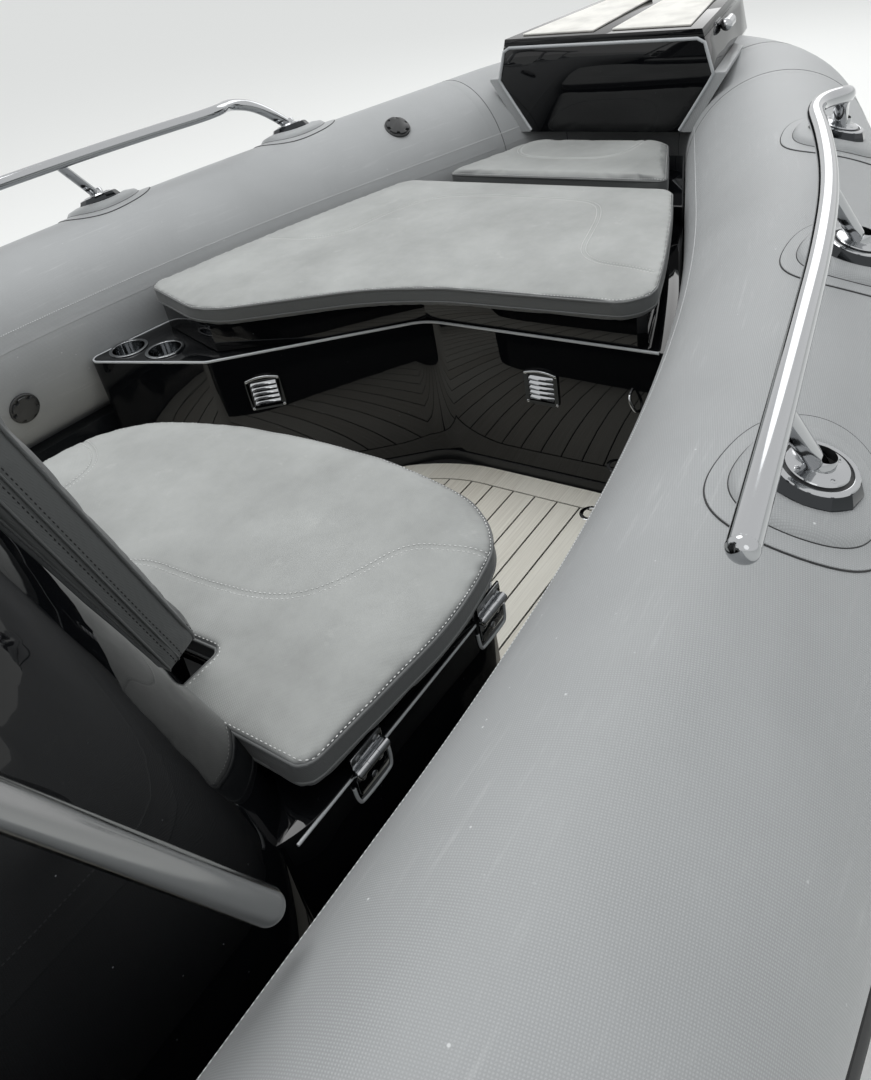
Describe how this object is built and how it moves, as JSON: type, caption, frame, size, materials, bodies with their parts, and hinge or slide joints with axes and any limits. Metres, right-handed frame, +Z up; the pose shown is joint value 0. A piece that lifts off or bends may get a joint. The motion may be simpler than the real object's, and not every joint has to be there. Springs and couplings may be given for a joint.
{
  "type": "inflatable rib boat",
  "caption": "Rigid-hull inflatable boat with bow seating, offset console, grab rails, stern bench and tilting outboard.",
  "frame": {"origin": "on the centreline at the waterline, amidships", "axes": "+X forward, +Y to port, +Z up"},
  "size_m": [7.1021, 2.6834, 2.265],
  "materials": {
    "tube_fabric": "coated tube fabric, satin",
    "strake_rubber": "moulded rub strake",
    "hull_gelcoat": "gelcoat on laminate",
    "black_gelcoat": "black high-gloss gelcoat",
    "teak_foam": "plank-grooved deck foam",
    "vinyl": "charcoal textured vinyl",
    "stainless": "polished stainless steel",
    "black_plastic": "moulded black plastic",
    "step_pad": "pale ribbed step pad",
    "screen": "tinted acrylic",
    "engine_paint": "satin engine paint",
    "cowl_paint": "painted moulded cowl",
    "engine_alloy": "cast block",
    "propeller_steel": "stainless propeller"
  },
  "bodies": {
    "root": {"hull": "hull_gelcoat", "cockpit_sole": "teak_foam", "tube_port": "tube_fabric", "tube_starboard": "tube_fabric", "rub_strake": "strake_rubber", "bow_locker": "black_gelcoat", "bow_deck": "black_gelcoat", "bow_hinges": "stainless", "bow_small_cushion": "vinyl", "bow_step": "black_gelcoat", "bow_step_hinges": "stainless", "bow_eye": "stainless", "grab_rail_port": "stainless", "grab_rail_starboard": "stainless", "bow_collar": "tube_fabric", "bow_fittings": "stainless", "rail_patches": "tube_fabric", "rail_bases": "black_plastic", "tube_valves": "black_plastic", "locker_vents": "stainless", "cup_holders": "stainless", "console": "black_gelcoat", "seat_box": "black_gelcoat", "seat_hinges": "stainless", "seat_backrest": "vinyl", "console_rail_starboard": "stainless", "console_rail_port": "stainless", "windscreen": "screen", "dash": "black_gelcoat", "dash_screens": "black_plastic", "throttle": "black_plastic", "helm_seat_frame": "stainless", "bench_frame": "stainless", "helm_column": "black_plastic", "helm_seat_pod": "black_gelcoat", "helm_cushion": "vinyl", "helm_backrest": "vinyl", "stern_bench": "black_gelcoat", "bench_hinges": "stainless", "bench_cushion": "vinyl", "bench_backrest": "vinyl", "engine_well": "hull_gelcoat", "stern_eyes": "stainless", "engine_bracket": "engine_paint"},
    "bow_lid": {"bow_lid": "black_gelcoat", "bow_cushion": "vinyl"},
    "bow_step_lid": {"bow_step_lid": "black_gelcoat", "step_pads": "step_pad"},
    "seat_lid": {"seat_lid": "black_gelcoat", "seat_cushion": "vinyl"},
    "steering_wheel": {"steering_wheel": "black_plastic"},
    "bench_hatch": {"bench_hatch": "black_gelcoat"},
    "engine_swivel": {"engine_swivel": "engine_paint"},
    "engine": {"engine_leg": "engine_paint", "gearcase": "engine_paint", "cowl_lower": "engine_paint", "cowl": "cowl_paint", "engine_block": "engine_alloy"},
    "propeller": {"propeller": "propeller_steel"}
  },
  "joints": [
    {"name": "bow_lid_hinge", "type": "hinge", "parent": "root", "child": "bow_lid", "pos_m": [2.33729, 0, 0.5815], "axis": [0, 1, 0], "range_deg": [0, 75]},
    {"name": "bow_step_hinge", "type": "hinge", "parent": "root", "child": "bow_step_lid", "pos_m": [3.33729, 0, 0.8915], "axis": [0, 1, 0], "range_deg": [0, 95]},
    {"name": "seat_lid_hinge", "type": "hinge", "parent": "root", "child": "seat_lid", "pos_m": [0.65, -0.7425, 0.561], "axis": [1, 0, 0], "range_deg": [0, 40]},
    {"name": "bench_hatch_hinge", "type": "hinge", "parent": "root", "child": "bench_hatch", "pos_m": [-1.7125, -0.2065, 0.3], "axis": [0, 0, -1], "range_deg": [0, 110]},
    {"name": "engine_tilt", "type": "hinge", "parent": "root", "child": "engine_swivel", "pos_m": [-3.02, 0, 0.245], "axis": [0, 1, 0], "range_deg": [-4, 62]},
    {"name": "engine_steer", "type": "hinge", "parent": "engine_swivel", "child": "engine", "pos_m": [-3.11, 0, 0.1], "axis": [0, 0, 1], "range_deg": [-30, 30]},
    {"name": "propeller_spin", "type": "hinge", "parent": "engine", "child": "propeller", "pos_m": [-3.46, 0, -0.615], "axis": [1, 0, 0], "continuous": true},
    {"name": "steering_wheel_turn", "type": "hinge", "parent": "root", "child": "steering_wheel", "pos_m": [-0.372, -0.25, 0.985], "axis": [-0.8829, 0, 0.4695], "range_deg": [-720, 720]}
  ],
  "couplings": [
    {"joint": "steering_wheel_turn", "follows": "engine_steer", "ratio": -24}
  ]
}
